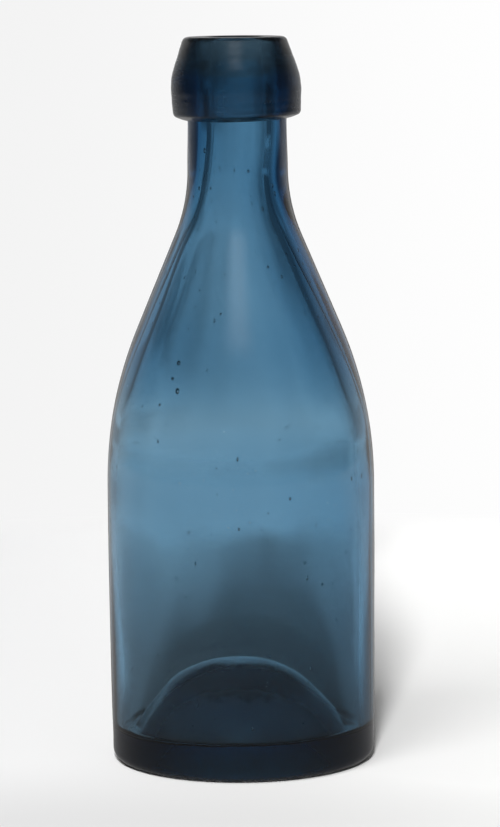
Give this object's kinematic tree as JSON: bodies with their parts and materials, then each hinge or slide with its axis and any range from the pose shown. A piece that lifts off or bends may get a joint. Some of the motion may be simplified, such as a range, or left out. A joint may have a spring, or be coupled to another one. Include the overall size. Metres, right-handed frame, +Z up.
{
  "type": "blob top bottle",
  "caption": "Thick blue glass soda bottle: straight round body, long sloping shoulder, short narrow neck, heavy rounded lip laid over the neck, and pushed-up base with mould seams.",
  "frame": {"origin": "centre of the ring that the bottle stands on, at table level", "axes": "+Z up along the bottle's axis, +X towards one mould seam, -Y towards the front that the picture shows"},
  "size_m": [0.067, 0.0666, 0.181],
  "materials": {
    "body_glass": "glossy blue glass, thick, with seeds",
    "lip_glass": "glossy blue glass, thicker and darker"
  },
  "bodies": {
    "root": {"blown_body": "body_glass", "applied_lip": "lip_glass"}
  },
  "joints": []
}
